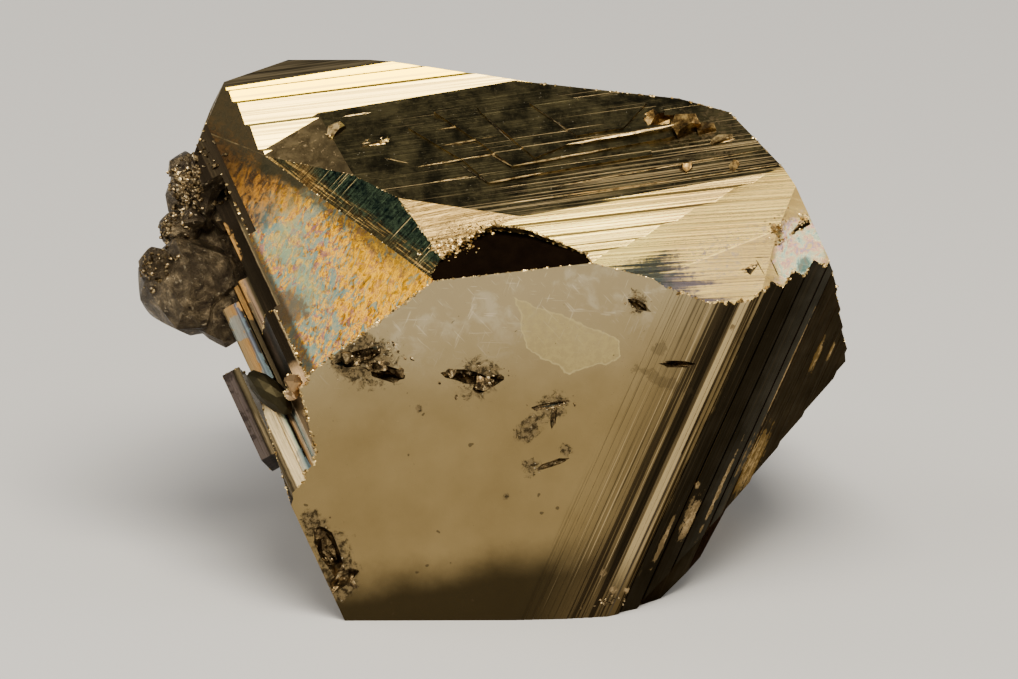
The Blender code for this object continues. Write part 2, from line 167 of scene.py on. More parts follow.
class Value:
    """One number or colour of a material, worked out by its nodes."""

    def __init__(self, paint, socket):
        self.paint = paint
        self.socket = socket

    def sum_of(self, operation, first, second):
        return self.paint.add("ShaderNodeMath", {"operation": operation}, {0: first, 1: second})

    def __add__(self, other):
        return self.sum_of("ADD", self, other)

    def __radd__(self, other):
        return self.sum_of("ADD", other, self)

    def __sub__(self, other):
        return self.sum_of("SUBTRACT", self, other)

    def __rsub__(self, other):
        return self.sum_of("SUBTRACT", other, self)

    def __mul__(self, other):
        return self.sum_of("MULTIPLY", self, other)

    def __rmul__(self, other):
        return self.sum_of("MULTIPLY", other, self)


class Paint:
    """A material and the nodes that paint it, in millimetres along the crystal's own axes."""

    def __init__(self, name, metallic, roughness):
        self.material = bpy.data.materials.new(name)
        self.material.use_nodes = True
        self.tree = self.material.node_tree
        self.colour = None
        self.shader = self.tree.nodes["Principled BSDF"]
        self.shader.inputs["Metallic"].default_value = metallic
        self.shader.inputs["Roughness"].default_value = roughness
        place = self.add("ShaderNodeTexCoord", {}, {}, "Object")
        self.x, self.y, self.z = [self.measure(place, axis) for axis in range(3)]
        self.place = self.add("ShaderNodeCombineXYZ", {}, {0: self.x, 1: self.y, 2: self.z})

    def add(self, kind, settings, sockets, output=0):
        node = self.tree.nodes.new(kind)
        for key, setting in settings.items():
            if key == "stops":
                ramp = node.color_ramp
                ramp.elements[0].position, ramp.elements[0].color = setting[0]
                ramp.elements[1].position, ramp.elements[1].color = setting[-1]
                for position, colour in setting[1:-1]:
                    ramp.elements.new(position).color = colour
            else:
                setattr(node, key, setting)
        for key, given in sockets.items():
            if isinstance(given, Value):
                self.tree.links.new(given.socket, node.inputs[key])
            else:
                node.inputs[key].default_value = given
        return Value(self, node.outputs[output])

    def measure(self, place, axis):
        """Millimetres along one of the crystal's own axes."""
        direction = TO_CRYSTAL[axis] / MILLIMETRE
        along = self.add(
            "ShaderNodeVectorMath", {"operation": "DOT_PRODUCT"}, {0: place, 1: direction}, "Value"
        )
        return along - (TO_CRYSTAL @ CENTRE)[axis]

    def across(self, azimuth):
        """Millimetres across lines that run square to a level direction."""
        a = math.radians(azimuth)
        return self.x * math.cos(a) + self.y * math.sin(a)

    def toward(self, direction):
        """Millimetres along any direction of the crystal."""
        return self.x * direction[0] + self.y * direction[1] + self.z * direction[2]

    def patch(self, across, along, middle, half, ragged=0.0):
        """One inside a ragged oval on a face, nought outside."""
        place = self.add(
            "ShaderNodeCombineXYZ",
            {},
            {0: (across - middle[0]) * (1.0 / half[0]), 1: (along - middle[1]) * (1.0 / half[1])},
        )
        away = self.add("ShaderNodeVectorMath", {"operation": "LENGTH"}, {0: place}, "Value")
        return self.between(away + ragged, 1.15, 0.85)

    def noise(self, place, scale, detail=3.0, roughness=0.5, distortion=0.0):
        return self.add(
            "ShaderNodeTexNoise",
            {},
            {"Vector": place, "Scale": scale, "Detail": detail, "Roughness": roughness,
             "Distortion": distortion},
        )

    def lines(self, across, along, scale, stretch=0.03, detail=4.0):
        """Fine lines that change quickly across and slowly along."""
        place = self.add(
            "ShaderNodeCombineXYZ", {}, {0: across * scale, 1: along * scale * stretch, 2: 0.37}
        )
        return self.noise(place, 1.0, detail, 0.6)

    def between(self, value, low, high):
        """Soft step from nought at the low limit to one at the high limit."""
        return self.add(
            "ShaderNodeMapRange",
            {"interpolation_type": "SMOOTHSTEP", "clamp": True},
            {"Value": value, 1: low, 2: high, 3: 0.0, 4: 1.0},
        )

    def spot(self, centre, radius, soft=0.4):
        """One inside a ball, nought outside."""
        away = self.add(
            "ShaderNodeVectorMath", {"operation": "DISTANCE"}, {0: self.place, 1: centre}, "Value"
        )
        return self.between(away, radius * (1.0 + soft), radius * (1.0 - soft))

    def ramp(self, value, stops):
        """Colours that change with a value, each given with its stop."""
        stops = [(stop, (*tone, 1.0)) for stop, tone in stops]
        return self.add("ShaderNodeValToRGB", {"stops": stops}, {0: value})

    def mix(self, share, first, second):
        """Blend of two colours."""
        tones = [tone if isinstance(tone, Value) else (*tone, 1.0) for tone in (first, second)]
        return self.add(
            "ShaderNodeMix", {"data_type": "RGBA"}, {0: share, 6: tones[0], 7: tones[1]}, 2
        )

    def lay(self, share, tone):
        """Lays a tone over the colour so far."""
        self.colour = self.mix(share, self.colour, tone)

    def finish(self, roughness=None, height=None, strength=0.3, depth=0.00005):
        """Gives the shader its colour, and its roughness and relief if they vary."""
        self.tree.links.new(self.colour.socket, self.shader.inputs["Base Color"])
        if roughness is not None:
            self.tree.links.new(roughness.socket, self.shader.inputs["Roughness"])
        if height is not None:
            bump = self.add(
                "ShaderNodeBump", {}, {"Height": height, "Strength": strength, "Distance": depth}
            )
            self.tree.links.new(bump.socket, self.shader.inputs["Normal"])
        return self.material


# Front face: khaki gold and satin, darker towards its foot. Dark stains surround the pits, and
# a paler growth patch with fine outlines lies at its upper right.
front = Paint("front_face", 1.0, 0.34)


def lay_khaki(paint):
    """Khaki gold that pales towards the top and darkens at the foot."""
    clouds = paint.noise(paint.place, 0.20, 4.0, 0.55)
    paint.colour = paint.mix(clouds, (0.190, 0.132, 0.050), (0.320, 0.236, 0.108))
    paint.lay(paint.between(paint.y + clouds * 4.0, 0.0, 11.0) * 0.8, (0.43, 0.345, 0.195))
    paint.lay(paint.between(paint.y + clouds * 2.5, -7.8, -11.4) * 0.92, (0.018, 0.013, 0.006))


grain = front.noise(front.place, 7.0, 4.0, 0.65)
lay_khaki(front)
upper_part = front.between(front.y, 2.0, 8.0)
smoke = front.between(front.noise(front.place, 0.55, 5.0, 0.6, 0.6), 0.50, 0.68) * upper_part
front.lay(smoke * 0.45, (0.60, 0.52, 0.36))
for direction in (35.0, 80.0, 152.0):
    hairs = front.lines(front.across(direction), front.across(direction + 90.0), 7.0, 0.07, 1.0)
    front.lay(front.between(hairs, 0.69, 0.73) * upper_part * 0.35, (0.78, 0.68, 0.48))
# The growth patch: where each of its five edges looks, and how far out it lies.
EDGES = [(59.1, 6.54), (0.0, 6.40), (-79.6, -1.30), (-129.4, -3.04), (-173.0, -0.25)]
inside = 1.0
outline = 0.0
for azimuth, reach in EDGES:
    wobble = front.noise(front.place, 0.9, 3.0) * 0.9 - 0.45
    gap = reach - front.across(azimuth) + wobble
    inside = front.between(gap, 0.0, 0.10) * inside
    outline = outline + front.between(gap, 0.20, 0.05)
mottle = front.between(front.noise(front.place, 2.0, 5.0, 0.75), 0.42, 0.60)
front.lay(inside * (mottle * 0.30 + 0.30), (0.50, 0.40, 0.165))
front.lay(outline * inside * 0.35, (0.72, 0.60, 0.30))
# Dark stains around the pits: middle and radius.
STAINS = [
    ((-10.9, 4.7, 15.0), 2.5), ((-12.6, 5.6, 15.0), 1.3), ((-3.7, 2.5, 15.0), 2.1),
    ((1.1, -0.3, 15.0), 1.5), ((7.8, 6.2, 15.0), 1.0), ((10.1, 1.6, 15.0), 1.3),
    ((11.9, 1.3, 14.7), 1.1), ((-0.9, -1.9, 15.0), 1.0), ((1.8, -3.6, 15.0), 0.6),
    ((-0.7, -4.4, 15.0), 0.9), ((-2.7, -6.3, 15.0), 0.35), ((-8.1, 0.9, 15.0), 0.35),
    ((-15.2, -8.4, 15.0), 1.9), ((-14.7, -11.0, 15.0), 1.5), ((-16.4, -6.0, 15.0), 1.0),
]
flecks = front.noise(front.place, 1.5, 7.0, 0.78, 0.8)
stain = 0.0
for centre, radius in STAINS:
    stain = stain + front.spot(centre, radius, 0.85)
stain = front.between(stain * 0.50 + flecks, 0.84, 0.98)
stain_tone = front.mix(
    front.between(front.noise(front.place, 2.6, 5.0, 0.75), 0.42, 0.58),
    (0.022, 0.015, 0.008), (0.20, 0.145, 0.07)
)
front.lay(stain * 0.92, stain_tone)
glints = front.between(front.noise(front.place, 3.6, 3.0, 0.6), 0.66, 0.72) * stain
front.lay(glints, (0.60, 0.52, 0.36))
dots = front.between(front.noise(front.place, 1.5, 1.0, 0.4), 0.775, 0.80)
front.lay(dots * 0.7, (0.05, 0.035, 0.018))
front_skin = front.finish(grain * 0.22 + stain * 0.15 + 0.20, grain - stain, 0.16)

# Right side: growth lines that crowd together from khaki into nearly black; its far part is painted
# shade.
right = Paint("right_side_face", 1.0, 0.34)
across_right = right.across(-30.0)
along_right = right.across(60.0) - right.z * 0.4
fine = right.lines(across_right, along_right, 6.0, 0.008, 2.0)
broad = right.lines(across_right + 20.0, along_right, 2.1, 0.010, 2.0)
patches = right.noise(right.place, 0.5, 4.0, 0.6)
crowd = right.between(across_right, 5.2, 10.2)
lay_khaki(right)
right.lay(crowd * (patches * 0.6 + 0.46), (0.105, 0.073, 0.032))
foot = right.between(right.y, -15.5, -11.0)
dark_lines = right.between(fine * 0.6 + broad * 0.4 + crowd * 0.10, 0.585, 0.63)
right.lay(dark_lines * (crowd * 0.62 + 0.30), (0.016, 0.011, 0.006))
bright_lines = right.between(fine * 0.6 + broad * 0.4, 0.43, 0.38) * foot
right.lay(bright_lines * 0.45, (0.62, 0.47, 0.25))
# Broad lines, dark and bright: middle, half width, share and tone.
BANDS = [(9.88, 0.20, 0.9, (0.012, 0.009, 0.005)), (10.25, 0.12, 0.6, (0.012, 0.009, 0.005)),
         (10.80, 0.30, 0.75, (0.54, 0.41, 0.205)), (11.22, 0.07, 0.8, (0.02, 0.014, 0.008))]
wander = across_right + (broad - 0.5) * 0.12
for middle, half, share, tone in BANDS:
    inside_band = right.between(wander, middle - half - 0.05, middle - half + 0.03)
    inside_band = inside_band * right.between(wander, middle + half + 0.05, middle + half - 0.03)
    right.lay(inside_band * foot * share, tone)
rag = right.noise(right.place, 1.6, 6.0, 0.75) - 0.5
streaky = rag * 3.2 + (fine - 0.5) * 2.2
smudges = right.patch(across_right, along_right, (7.8, -1.1), (2.0, 0.45), rag * 4.5)
smudges = smudges + right.patch(across_right, along_right, (6.5, 0.9), (0.5, 0.5), rag * 3.5)
right.lay(right.between(smudges, 0.0, 1.4) * 0.42, (0.045, 0.032, 0.016))
# Painted shade: the far part of the right side is made nearly black for the dark it reflects.
painted_shade_far_part = right.between(across_right + (broad - 0.5) * 0.6 + (patches - 0.5) * 0.9, 11.75, 12.15)
painted_shade_tone = right.mix(
    right.between(across_right + patches, 14.5, 18.0),
    right.mix(patches, (0.008, 0.0065, 0.004), (0.022, 0.018, 0.012)),
    right.mix(patches, (0.018, 0.0175, 0.014), (0.056, 0.052, 0.041)),
)
right.lay(painted_shade_far_part, painted_shade_tone)
dim_lines = right.between(fine, 0.60, 0.66) * painted_shade_far_part
right.lay(dim_lines * 0.35, (0.050, 0.038, 0.022))
# Bright chips on the dark part: middle and half size, across and along the lines.
GILT = [
    ((14.3, -8.9), (0.42, 1.5)), ((17.55, -2.9), (0.75, 2.3)), ((16.85, 3.7), (0.07, 3.9)),
    ((15.7, -6.0), (0.13, 3.2)), ((19.25, 6.3), (0.22, 1.1)), ((20.6, 7.4), (0.14, 0.8)),
    ((13.67, -6.56), (0.2, 0.25)), ((10.7, 4.28), (0.14, 0.2)), ((10.7, -16.1), (0.3, 0.25)),
    ((11.7, -15.7), (0.25, 0.25)), ((9.5, -15.3), (0.2, 0.25)), ((12.9, -11.3), (0.18, 1.5)),
]
gilt_tone = right.mix(
    right.between(rag + fine * 0.6, 0.2, 0.45), (0.15, 0.105, 0.05), (0.46, 0.33, 0.17)
)
for middle, half in GILT:
    gilt = right.patch(across_right, along_right, middle, half, streaky)
    right.lay(gilt * 0.85, gilt_tone)
right.shader.inputs["Specular Tint"].default_value = (0.35, 0.28, 0.18, 1.0)
right_skin = right.finish(None, fine, 0.45, 0.00008)

riser = Paint("line_shadow", 1.0, 0.40)
riser_clouds = riser.noise(riser.place, 0.8, 4.0, 0.6)
riser.colour = riser.mix(riser_clouds, (0.010, 0.007, 0.004), (0.09, 0.064, 0.030))
riser_skin = riser.finish()

# Upper face and ridge: pale brass, bright, with many fine lines. The right end has a blue and
# pink tarnish, and a violet wedge lies where it meets the front face.
# A face plane is given by how far out it lies and where it looks, as in the solid.
TOP_REACH = 17.6
BEND_REACH = 17.78
BEND_LOOK = outward(67.0, 20.0)
upper = Paint("upper_face", 1.0, 0.25)
across_upper = upper.across(88.4) * 0.8 - upper.z * 0.6
upper_fine = upper.lines(across_upper, upper.x, 4.2, 0.006, 3.0)
upper_broad = upper.lines(across_upper, upper.x, 1.1, 0.012, 3.0)
upper_hair = upper.lines(across_upper, upper.x, 12.0, 0.004, 2.0)
below_top = TOP_REACH - (upper.y * 0.848 + upper.z * 0.530)
browner = upper.between(below_top, 0.9, -0.1)
smoother = upper.between(below_top, 1.5, 2.6)
upper.colour = upper.mix(upper_broad, (0.74, 0.48, 0.13), (1.0, 0.72, 0.23))
near_side = upper.between(upper.x, 12.5, 7.5)
upper.lay(near_side * 0.75, (1.0, 0.76, 0.21))
upper.lay(browner * 0.5, (0.42, 0.27, 0.07))
upper_dark = upper.between(
    upper_fine * 0.5 + upper_hair * 0.2 + upper_broad * 0.3 + browner * 0.05 - smoother * 0.05,
    0.555, 0.60,
)
upper.lay(upper_dark * (0.72 - near_side * 0.2), (0.17, 0.105, 0.028))
upper_light = upper.between(upper_hair, 0.37, 0.33)
upper.lay(upper_light * 0.5, (1.0, 0.82, 0.26))
hues = upper.noise(upper.place, 0.9, 4.0, 0.6, 0.5)
fine_hues = upper.noise(upper.place, 2.4, 6.0, 0.75, 0.4)
mottling = upper.ramp(fine_hues, [
    (0.40, (0.50, 0.38, 0.28)),
    (0.47, (0.95, 0.66, 0.20)),
    (0.53, (1.0, 0.76, 0.22)),
    (0.58, (0.76, 0.46, 0.18)),
    (0.66, (0.46, 0.46, 0.38)),
])
upper.lay(smoother * 0.6, mottling)
# The face bends at its right end; painted shade near the bend and the right end evens out its
# brightness.
from_bend = BEND_REACH - upper.toward(BEND_LOOK)
banded_bend = from_bend + (upper_broad - 0.5) * 3.5
off_bend = upper.between(from_bend, 0.004, 0.02)
painted_shade_by_bend = upper.between(banded_bend, 1.5, 0.1) * off_bend
upper.lay(painted_shade_by_bend * 0.5, (0.30, 0.205, 0.075))
painted_shade_right_end = upper.between(upper.x + (fine_hues - 0.5) * 5.0, 10.0, 14.5)
upper.lay(painted_shade_right_end * (off_bend * 0.46 + 0.04), (0.30, 0.205, 0.075))
tarnish = upper.ramp(hues * 0.7 + fine_hues * 0.3, [
    (0.38, (0.16, 0.38, 0.36)),
    (0.44, (0.62, 0.88, 0.70)),
    (0.49, (1.0, 0.86, 0.50)),
    (0.54, (1.0, 0.50, 0.36)),
    (0.58, (0.50, 0.46, 0.66)),
    (0.63, (1.0, 0.72, 0.26)),
])
rainbow = upper.between(upper.spot((20.0, 7.2, 11.9), 2.7, 0.5) * 0.6 + hues, 0.72, 0.98)
upper.lay(rainbow * 0.85, tarnish)
teal = upper.between(upper.spot((20.2, 6.2, 11.7), 0.75, 0.9) + fine_hues * 1.4, 1.2, 1.5)
upper.lay(teal * 0.8, (0.06, 0.14, 0.13))
low_edge = upper.y - (upper.x - 8.2) * 0.10 + (upper_fine - 0.5) * 3.5 + (fine_hues - 0.5) * 0.8
wedge_end = upper.x + (upper_fine - 0.5) * 9.0 + (fine_hues - 0.5) * 4.0 + upper.y * 0.6
wedge = upper.between(low_edge, 9.5, 9.0) * upper.between(wedge_end, 17.5, 15.4)
wedge_hue = upper.mix(
    upper.between(upper.x + (fine_hues - 0.5) * 6.0, 9.2, 11.5),
    (0.004, 0.022, 0.032), (0.060, 0.052, 0.070),
)
upper.lay(wedge * 0.94, wedge_hue)
smear = upper.spot((13.8, 8.4, 14.0), 1.5, 0.5) * upper.between(fine_hues, 0.50, 0.62)
upper.lay(smear * 0.6, (0.30, 0.24, 0.20))
golden = upper.spot((18.7, 9.1, 12.8), 1.3, 0.5) * upper.between(fine_hues, 0.52, 0.60)
upper.lay(golden * 0.8, (0.14, 0.09, 0.045))
upper_skin = upper.finish(upper_fine * 0.2 + 0.16, upper_fine + fine_hues * 0.3, 0.3, 0.00006)

ridge = Paint("ridge_face", 1.0, 0.24)
across_ridge = ridge.across(89.2) * 0.7 - ridge.z * 0.7
ridge_broad = ridge.lines(across_ridge, ridge.x, 1.0, 0.010, 3.0)
ridge_fine = ridge.lines(across_ridge, ridge.x, 4.0, 0.008, 3.0)
ridge_low = ridge.between(ridge.y, 20.6, 19.8)
ridge.colour = ridge.mix(ridge_broad, (0.88, 0.56, 0.01), (1.0, 0.70, 0.04))
ridge.lay(ridge.between(ridge_fine, 0.52, 0.66) * (0.65 - ridge_low * 0.5), (0.36, 0.24, 0.08))
hem = ridge.toward((0.0, 0.848, 0.530)) + (ridge_broad - 0.5) * 0.5
hem = ridge.between(hem, 17.84, 17.66) * ridge.between(ridge.x, -9.0, -3.0)
ridge.lay(hem * 0.9, (0.045, 0.034, 0.015))
ridge_skin = ridge.finish(None, ridge_broad + ridge_fine * 0.3, 0.2, 0.00006)

crest = Paint("crest_face", 1.0, 0.34)
crest_lines = crest.lines(crest.across(90.1) * 0.4 - crest.z * 0.9, crest.x, 2.5, 0.02)
crest.colour = crest.mix(
    crest.between(crest_lines, 0.44, 0.62), (0.045, 0.034, 0.018), (0.30, 0.23, 0.12)
)
crest_skin = crest.finish(None, crest_lines, 0.4, 0.00008)

# Top face: nearly black olive as painted shade, with bright ledges, browner at its left end.
top = Paint("top_face", 1.0, 0.30)
across_top = top.across(90.0) * 0.53 - top.z * 0.85
top_fine = top.lines(across_top, top.x, 4.0, 0.010)
top_clouds = top.noise(top.place, 0.5, 6.0, 0.68)
top.colour = top.mix(
    top.between(top_clouds, 0.34, 0.68), (0.013, 0.0115, 0.006), (0.085, 0.070, 0.031)
)
near_edge = top.between(top.y - top.x * 0.12, 15.4, 13.0)
top_hair = top.lines(across_top, top.x, 9.0, 0.005, 2.0)
top_lines = top.between(top_fine * 0.4 + top_hair * 0.6 + near_edge * 0.095, 0.61, 0.65)
top.lay(top_lines * 0.75, (0.52, 0.38, 0.18))
top_streaks = top.noise(top.place, 2.4, 5.0, 0.7, 0.4)
top.lay(top.between(top_streaks, 0.56, 0.70) * 0.25, (0.20, 0.155, 0.075))
dust = top.between(top.noise(top.place, 4.5, 2.0, 0.5), 0.71, 0.75)
top.lay(dust * 0.6, (0.35, 0.30, 0.2))
worn = top.spot((14.6, 15.6, 8.4), 2.4, 0.6) * top.between(top_streaks, 0.47, 0.62)
top.lay(worn * 0.7, (0.17, 0.12, 0.06))
top_skin = top.finish(None, top_fine + top_streaks * 0.5, 0.4, 0.00008)

top_left = Paint("top_left_face", 1.0, 0.32)
soft_brown = top_left.noise(top_left.place, 1.1, 6.0, 0.7, 0.3)
top_left.colour = top_left.mix(
    top_left.between(soft_brown, 0.30, 0.70), (0.075, 0.054, 0.025), (0.225, 0.165, 0.078)
)
toward_right = top_left.between(top_left.x, -13.0, -10.6)
top_left.lay(toward_right * 0.45, (0.045, 0.035, 0.018))
flecks_left = top_left.between(top_left.noise(top_left.place, 3.0, 4.0, 0.6), 0.62, 0.67)
top_left.lay(flecks_left * 0.6, (0.50, 0.36, 0.18))
top_left_skin = top_left.finish(None, soft_brown, 0.35, 0.00008)

ledge = Paint("ledge_face", 1.0, 0.30)
ledge_crumbs = ledge.noise(ledge.place, 1.6, 4.0, 0.7)
ledge.colour = ledge.mix(
    ledge.between(ledge_crumbs, 0.36, 0.56), (0.14, 0.09, 0.035), (0.62, 0.44, 0.19)
)
ledge_skin = ledge.finish(None, ledge_crumbs, 0.3, 0.00006)

# Left flank and left face share one corner, from which the flank's strips are measured.
FLANK_CORNER = Vector((-16.73, 10.26, 9.73))
FLANK_RUN = Vector((0.2251, -0.7040, 0.6735)).normalized()
FLANK_ACROSS = FLANK_RUN.cross(outward(120.0, 43.0)).normalized()
FLANK_EDGE = FLANK_CORNER.dot(FLANK_ACROSS)

# Left face: iridescent tarnish, orange gold with blue and rose veins, painted shade at its upper
# left.
LEFT_REACH = 18.88
LEFT_LOOK = (-0.341, 0.591, 0.731)
LEFT_UPPER_REACH = 18.47
LEFT_UPPER_LOOK = (-0.2124, 0.6948, 0.6871)
left = Paint("left_face", 1.0, 0.28)
left_clouds = left.noise(left.place, 0.8, 5.0, 0.65, 0.6)
left_fine = left.noise(left.place, 2.3, 8.0, 0.78, 0.5)
LEFT_STREAKS = (0.30, 0.93, -0.20)
drawn_out = left.add(
    "ShaderNodeCombineXYZ",
    {},
    {0: left.toward(LEFT_STREAKS) * 0.45, 1: left.x - left.y * 0.5, 2: left.z + left.y * 0.2},
)
left_grain = left.noise(drawn_out, 2.6, 7.0, 0.75, 0.8)
left_veins = left.noise(drawn_out, 1.7, 6.0, 0.70, 1.4)
left.colour = left.ramp(left_grain, [
    (0.36, (0.06, 0.028, 0.003)),
    (0.44, (0.20, 0.080, 0.0)),
    (0.50, (0.42, 0.185, 0.0)),
    (0.55, (0.74, 0.37, 0.01)),
    (0.64, (0.28, 0.11, 0.005)),
])
leftward = left.between(left.x + (left_clouds - 0.5) * 7.0, -9.0, -14.5)
cool = left.between(left_veins + leftward * 0.085, 0.550, 0.605)
left.lay(cool * 0.8, (0.070, 0.170, 0.155))
rosy = left.between(left_fine * 0.5 + left_veins * 0.5, 0.470, 0.440)
left.lay(rosy * (leftward * 0.3 + 0.5), (0.150, 0.070, 0.095))
gold_zone = left.spot((-8.9, 10.9, 13.0), 4.2, 0.6) + left.spot((-14.4, 14.8, 7.2), 2.4, 0.6)
gold_zone = left.between(gold_zone * 0.5 + left_clouds, 0.75, 1.15)
left.lay(gold_zone * 0.35, (0.56, 0.29, 0.0))
sage = left.spot((-15.3, 12.2, 8.8), 2.1, 0.6) + left.spot((-14.6, 9.4, 11.6), 1.9, 0.6)
sage = left.between(sage * 0.5 + left_clouds, 0.80, 1.15)
left.lay(sage * 0.6, (0.22, 0.26, 0.12))
grey_patch = left.spot((-16.6, 13.9, 6.9), 1.1, 0.95) + left_clouds * 1.6 + (left_grain - 0.5) * 1.5
grey_patch = left.between(grey_patch, 1.05, 1.5)
left.lay(grey_patch * 0.6, (0.050, 0.080, 0.075))
swirls = left.spot((-15.9, 8.5, 11.6), 1.3, 0.95) + left_clouds * 1.6 + (left_grain - 0.5) * 2.0
swirls = left.between(swirls, 1.1, 1.5)
left.lay(swirls * 0.85, (0.075, 0.052, 0.032))
upslope = left.across(120.0) * 0.73 - left.z * 0.68
umber = left.between(upslope + (left_clouds - 0.5) * 4.0, 8.5, 12.0)
umber_hue = left.mix(
    left.between(left_grain, 0.40, 0.62), (0.03, 0.015, 0.006), (0.30, 0.125, 0.015)
)
left.lay(umber * 0.93, umber_hue)
shade = left.between(upslope + left_clouds * 3.5, 12.6, 17.0)
dusk = left.mix(
    left.between(left_fine, 0.42, 0.62), (0.008, 0.005, 0.003), (0.050, 0.027, 0.010)
)
left.lay(shade * 0.93, dusk)
# Painted shade: a nearly black patch at the upper left that carries on the dark of the fold.
painted_shade_patch = left.spot((-15.2, 16.9, 4.9), 1.2, 0.8) + left.spot((-13.6, 16.1, 6.4), 1.0, 0.8)
painted_shade_patch = left.between(painted_shade_patch + left_clouds * 0.8, 0.75, 1.2)
left.lay(painted_shade_patch * 0.93, (0.005, 0.009, 0.006))
fold = LEFT_UPPER_REACH - left.toward(LEFT_UPPER_LOOK)
fold_shade = left.between(fold + (left_fine - 0.5) * 0.8, 0.30, 0.02)
fold_shade = fold_shade * left.between(left.x, -5.5, -9.5)
left.lay(fold_shade * 0.8, (0.030, 0.024, 0.012))
brink = left.between(left.toward(FLANK_ACROSS) - FLANK_EDGE + (left_grain - 0.5) * 0.6, -0.25, 0.10)
left.lay(brink * 0.85, (0.030, 0.021, 0.011))
left_skin = left.finish(left_fine * 0.25 + 0.16, left_grain + left_clouds * 0.5, 0.22, 0.00006)

# Upper left face: nearly black teal as painted shade, with pale scratches, combed lines and rust.
left_upper = Paint("left_upper_face", 1.0, 0.28)
blue_clouds = left_upper.noise(left_upper.place, 1.8, 7.0, 0.75, 0.3)
left_upper.colour = left_upper.mix(
    left_upper.between(blue_clouds, 0.36, 0.66),
    (0.001, 0.0025, 0.0025), (0.014, 0.021, 0.012),
)
SCRATCH_RUN = (0.770, 0.551, -0.322)
SCRATCH_ACROSS = (-0.602, 0.461, -0.652)
scratches = left_upper.lines(
    left_upper.toward(SCRATCH_ACROSS), left_upper.toward(SCRATCH_RUN), 6.0, 0.03, 1.0
)
left_upper.lay(left_upper.between(scratches, 0.67, 0.71) * 0.5, (0.30, 0.23, 0.10))
FOLD_RUN = outward(120.0, 43.0).cross(outward(107.0, 46.6)).normalized()
FOLD_ACROSS = FOLD_RUN.cross(outward(107.0, 46.6))
combed = left_upper.lines(
    left_upper.toward(FOLD_ACROSS), left_upper.toward(FOLD_RUN), 6.0, 0.06, 3.0
)
near_fold = left_upper.between(
    LEFT_REACH - left_upper.toward(LEFT_LOOK) + (blue_clouds - 0.5) * 0.4, 0.24, 0.03
)
left_upper.lay(near_fold * 0.5, (0.030, 0.020, 0.007))
left_upper.lay(left_upper.between(combed, 0.54, 0.62) * near_fold * 0.7, (0.24, 0.15, 0.045))
rust = left_upper.between(left_upper.x + blue_clouds * 2.0, -10.9, -12.3)
rust = rust * left_upper.between(left_upper.x, -14.2, -13.2)
left_upper.lay(rust * 0.3, (0.12, 0.06, 0.015))
left_upper_skin = left_upper.finish(None, blue_clouds + scratches, 0.35, 0.00006)

shoulder = Paint("shoulder_face", 1.0, 0.34)
bubbles = shoulder.noise(shoulder.place, 2.6, 5.0, 0.7, 0.3)
shoulder_lines = shoulder.lines(shoulder.across(92.0) - shoulder.z, shoulder.x, 3.0, 0.05, 3.0)
shoulder.colour = shoulder.mix(
    shoulder.between(bubbles * 0.25 + shoulder_lines * 0.75, 0.40, 0.60),
    (0.19, 0.120, 0.036), (0.44, 0.290, 0.095),
)
crumbly = shoulder.spot((-4.2, 12.0, 13.0), 1.5, 0.5) * shoulder.between(bubbles, 0.44, 0.50)
shoulder.lay(crumbly * 0.6, (0.07, 0.045, 0.02))
shoulder_skin = shoulder.finish(None, bubbles + shoulder_lines, 0.5, 0.0001)

# Hollow face: nearly black as painted shade.
hollow = Paint("hollow_face", 1.0, 0.36)
hollow_clouds = hollow.noise(hollow.place, 1.2, 5.0, 0.6)
hollow.colour = hollow.mix(hollow_clouds, (0.0005, 0.0003, 0.0002), (0.0032, 0.0018, 0.0009))
hollow_skin = hollow.finish(None, hollow_clouds, 0.2, 0.00005)

# Left flank: strips of many colours that run side by side down the ledges.
flank = Paint("flank_face", 1.0, 0.32)
flank_across = flank.toward(FLANK_ACROSS) - FLANK_EDGE
flank_along = flank.toward(FLANK_RUN) - FLANK_CORNER.dot(FLANK_RUN)
flank_wear = flank.noise(flank.place, 1.3, 6.0, 0.7, 0.3)
flank_lines = flank.lines(flank_across, flank_along, 5.0, 0.02)
# Strips side by side: their place as a share of the flank's width, and their tone.
FLANK_WIDTH = 8.0
strip = (flank_across + (flank_wear - 0.5) * 0.16) * (1.0 / FLANK_WIDTH)
middle_strips = flank.ramp(strip, [
    (0.00, (0.62, 0.46, 0.24)),
    (0.050, (0.55, 0.42, 0.22)),
    (0.058, (0.03, 0.02, 0.01)),
    (0.070, (0.60, 0.46, 0.25)),
    (0.105, (0.35, 0.25, 0.12)),
    (0.118, (0.010, 0.007, 0.004)),
    (0.240, (0.012, 0.009, 0.005)),
    (0.262, (0.060, 0.045, 0.022)),
    (0.285, (0.20, 0.130, 0.080)),
    (0.330, (0.085, 0.062, 0.030)),
    (0.350, (0.010, 0.007, 0.004)),
    (0.395, (0.090, 0.066, 0.032)),
    (0.425, (0.010, 0.008, 0.005)),
    (0.455, (0.11, 0.12, 0.14)),
    (0.480, (0.22, 0.115, 0.035)),
    (0.540, (0.19, 0.120, 0.050)),
    (0.590, (0.10, 0.075, 0.036)),
    (0.640, (0.035, 0.026, 0.013)),
    (0.700, (0.085, 0.064, 0.032)),
    (0.735, (0.012, 0.009, 0.005)),
    (0.765, (0.060, 0.045, 0.037)),
    (0.900, (0.048, 0.037, 0.030)),
])
